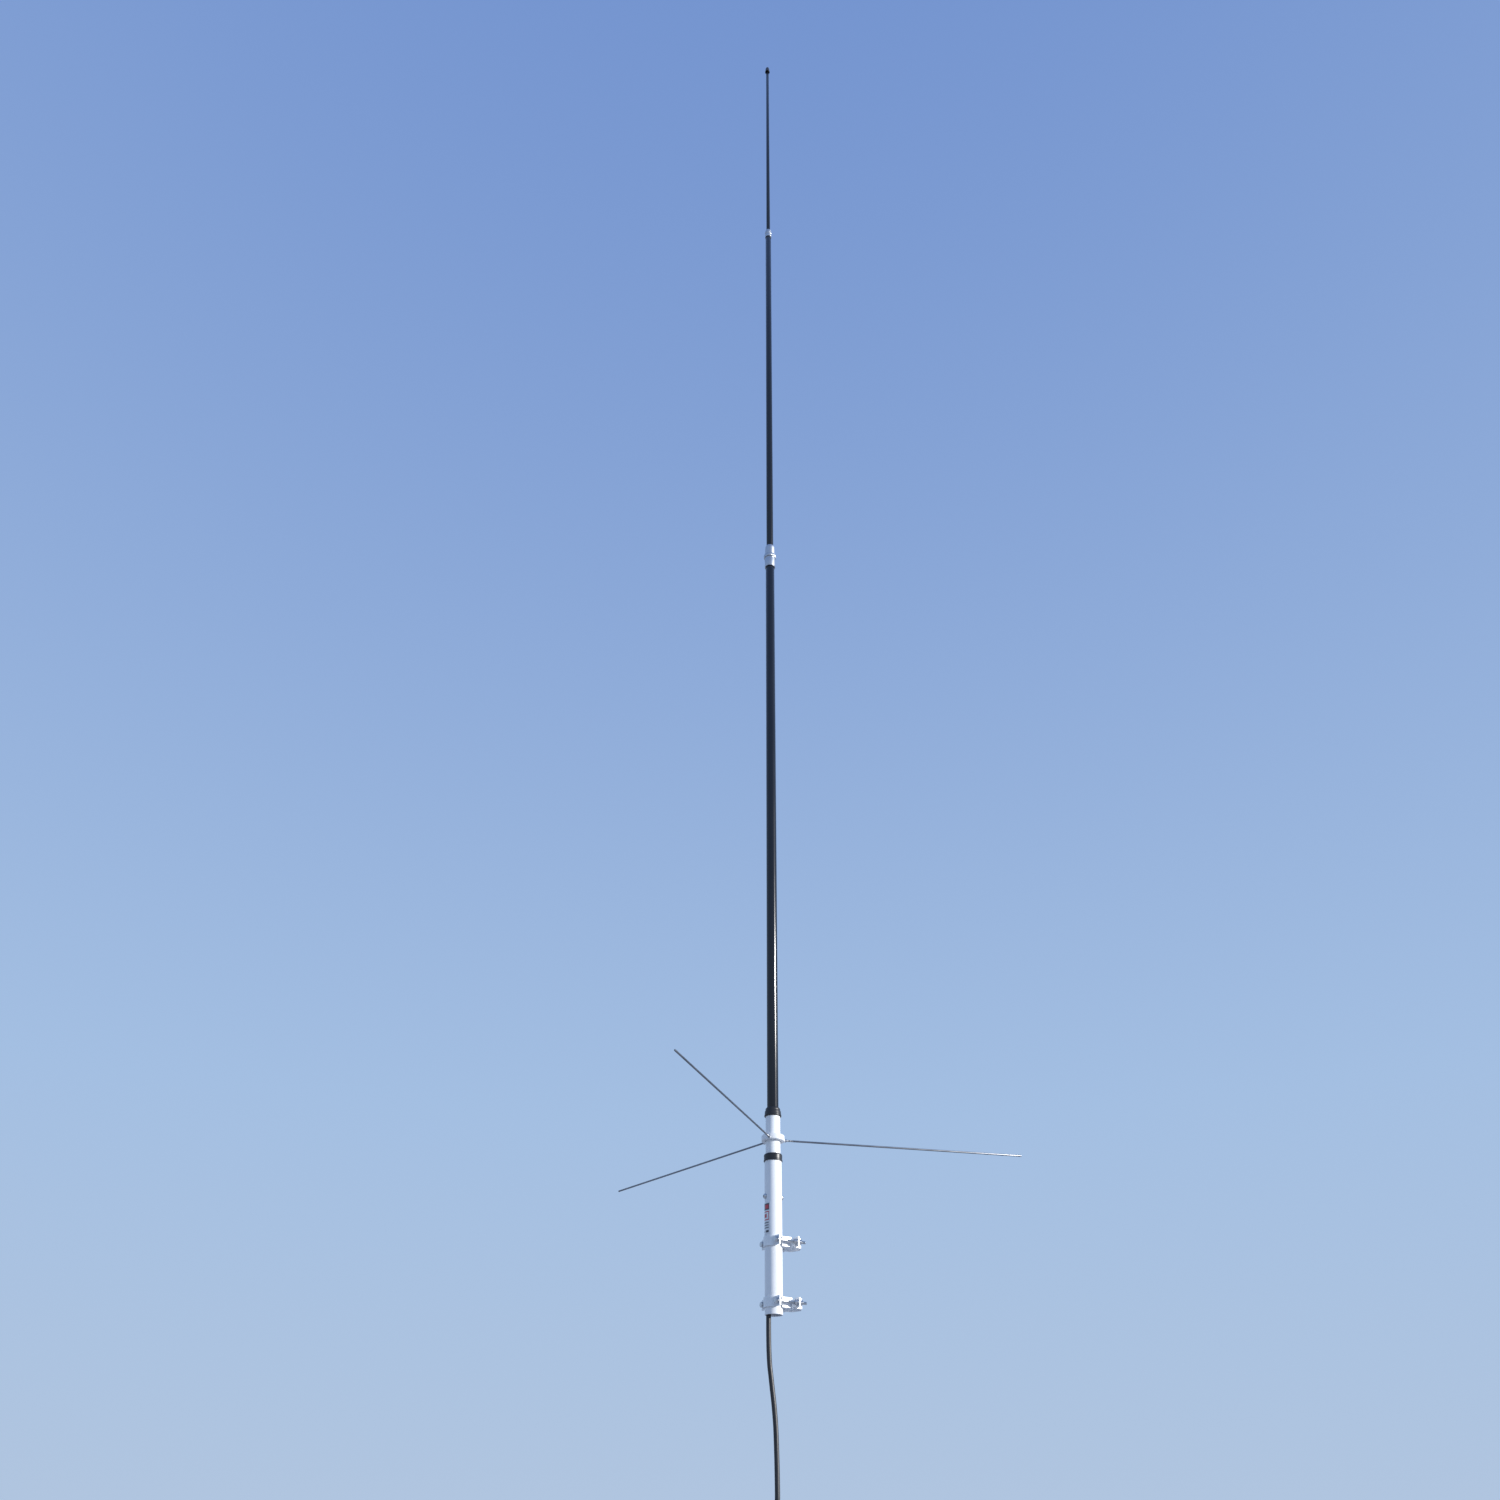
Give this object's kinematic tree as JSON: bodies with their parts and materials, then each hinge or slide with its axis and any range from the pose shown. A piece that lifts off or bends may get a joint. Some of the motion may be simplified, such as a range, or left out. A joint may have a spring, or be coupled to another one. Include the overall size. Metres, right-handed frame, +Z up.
{
  "type": "omnidirectional antenna",
  "caption": "Tall slim omnidirectional base-station antenna in fibreglass sections, with a white base pipe, ground radials, mast clamps and a coaxial feeder.",
  "frame": {"origin": "on the axis of the mast that the clamps grip, midway between the two clamps", "axes": "+Z up along the antenna; +X from the antenna's axis to the mast's axis; +Y completes the right-handed frame"},
  "size_m": [1.0026, 0.9749, 5.716],
  "materials": {
    "white_paint": "white paint on aluminium tube",
    "cast_fitting": "turned",
    "black_plastic": "moulded, satin",
    "black_radome": "glossy lacquered fibreglass",
    "plated_brass": "bright plating on turned brass",
    "stainless_steel": "stainless",
    "zinc_plated_steel": "bright zinc plating",
    "copper": "bare copper wire",
    "insulator": "natural insulator",
    "cable_jacket": "extruded jacket, satin",
    "tie_nylon": "moulded",
    "printed_foil": "printed foil"
  },
  "bodies": {
    "root": {"base_pipe": "white_paint", "pipe_seal_ring": "black_plastic", "upper_sleeve": "white_paint", "fibre_collar": "black_plastic", "base_fitting": "cast_fitting", "connector_socket": "plated_brass", "pipe_screw_left": "stainless_steel", "pipe_screw_right": "stainless_steel", "base_label": "printed_foil", "radial_hub": "white_paint", "lower_joint_ferrule": "plated_brass", "upper_joint_ferrule": "plated_brass", "lower_joint_cone": "plated_brass", "upper_joint_cone": "plated_brass", "lower_contact_pin": "insulator", "upper_contact_pin": "insulator", "lower_radome": "black_radome", "middle_radome": "black_radome", "upper_radome": "black_radome", "tip_cap": "black_plastic", "matching_coil": "copper", "lower_radiator": "copper", "middle_radiator": "copper", "upper_radiator": "copper", "lower_coil_former": "insulator", "middle_coil_former": "insulator", "upper_band": "zinc_plated_steel", "upper_saddle": "zinc_plated_steel", "upper_bolt_near": "stainless_steel", "upper_bolt_far": "stainless_steel", "lower_band": "zinc_plated_steel", "lower_saddle": "zinc_plated_steel", "lower_bolt_near": "stainless_steel", "lower_bolt_far": "stainless_steel", "near_plug_body": "plated_brass", "far_plug_body": "plated_brass", "coax_run": "cable_jacket", "coax_coil": "cable_jacket", "coax_tail": "cable_jacket", "coil_tie": "tie_nylon"},
    "upper_jaw": {"upper_jaw": "zinc_plated_steel"},
    "upper_near_nuts": {"upper_jam_nut_near": "stainless_steel", "upper_clamp_nut_near": "stainless_steel"},
    "upper_far_nuts": {"upper_jam_nut_far": "stainless_steel", "upper_clamp_nut_far": "stainless_steel"},
    "lower_jaw": {"lower_jaw": "zinc_plated_steel"},
    "lower_near_nuts": {"lower_jam_nut_near": "stainless_steel", "lower_clamp_nut_near": "stainless_steel"},
    "lower_far_nuts": {"lower_jam_nut_far": "stainless_steel", "lower_clamp_nut_far": "stainless_steel"},
    "lower_union_nut": {"lower_union_nut": "plated_brass"},
    "upper_union_nut": {"upper_union_nut": "plated_brass"},
    "radial_1": {"radial_1": "stainless_steel", "radial_nut_1": "stainless_steel"},
    "radial_2": {"radial_2": "stainless_steel", "radial_nut_2": "stainless_steel"},
    "radial_3": {"radial_3": "stainless_steel", "radial_nut_3": "stainless_steel"},
    "near_plug_nut": {"near_plug_nut": "plated_brass"},
    "far_plug_nut": {"far_plug_nut": "plated_brass"}
  },
  "joints": [
    {"name": "upper_jaw_slide", "type": "slide", "parent": "root", "child": "upper_jaw", "axis": [1, 0, 0], "range_m": [-0.0055, 0.01]},
    {"name": "upper_near_nuts_spin", "type": "hinge", "parent": "upper_jaw", "child": "upper_near_nuts", "pos_m": [0, -0.03, 0.06], "axis": [1, 0, 0], "range_deg": [-1985, 3605]},
    {"name": "upper_far_nuts_spin", "type": "hinge", "parent": "upper_jaw", "child": "upper_far_nuts", "pos_m": [0, 0.03, 0.06], "axis": [1, 0, 0], "range_deg": [-1985, 3605]},
    {"name": "lower_jaw_slide", "type": "slide", "parent": "root", "child": "lower_jaw", "axis": [1, 0, 0], "range_m": [-0.0055, 0.01]},
    {"name": "lower_near_nuts_spin", "type": "hinge", "parent": "lower_jaw", "child": "lower_near_nuts", "pos_m": [0, -0.03, -0.06], "axis": [1, 0, 0], "range_deg": [-1985, 3605]},
    {"name": "lower_far_nuts_spin", "type": "hinge", "parent": "lower_jaw", "child": "lower_far_nuts", "pos_m": [0, 0.03, -0.06], "axis": [1, 0, 0], "range_deg": [-1985, 3605]},
    {"name": "lower_union_nut_spin", "type": "hinge", "parent": "root", "child": "lower_union_nut", "pos_m": [-0.043, 0, 2.0758], "axis": [0, 0, 1], "continuous": true},
    {"name": "upper_union_nut_spin", "type": "hinge", "parent": "root", "child": "upper_union_nut", "pos_m": [-0.043, 0, 3.8146], "axis": [0, 0, 1], "continuous": true},
    {"name": "radial_1_spin", "type": "hinge", "parent": "root", "child": "radial_1", "pos_m": [-0.01447, -0.00927, 0.278], "axis": [0.9511, -0.309, 0], "continuous": true},
    {"name": "radial_2_spin", "type": "hinge", "parent": "root", "child": "radial_2", "pos_m": [-0.04924, 0.02934, 0.278], "axis": [-0.2079, 0.9781, 0], "continuous": true},
    {"name": "radial_3_spin", "type": "hinge", "parent": "root", "child": "radial_3", "pos_m": [-0.06529, -0.02007, 0.278], "axis": [-0.7431, -0.6691, 0], "continuous": true},
    {"name": "near_plug_nut_spin", "type": "hinge", "parent": "root", "child": "near_plug_nut", "pos_m": [-0.043, 0, 0.115], "axis": [0, 0, 1], "continuous": true},
    {"name": "far_plug_nut_spin", "type": "hinge", "parent": "root", "child": "far_plug_nut", "pos_m": [-0.0858, 0.0488, -0.57], "axis": [0, 0, 1], "continuous": true}
  ],
  "couplings": [
    {"joint": "upper_near_nuts_spin", "follows": "upper_jaw_slide", "rad_per_m": 6283.2},
    {"joint": "upper_far_nuts_spin", "follows": "upper_jaw_slide", "rad_per_m": 6283.2},
    {"joint": "lower_near_nuts_spin", "follows": "lower_jaw_slide", "rad_per_m": 6283.2},
    {"joint": "lower_far_nuts_spin", "follows": "lower_jaw_slide", "rad_per_m": 6283.2}
  ]
}
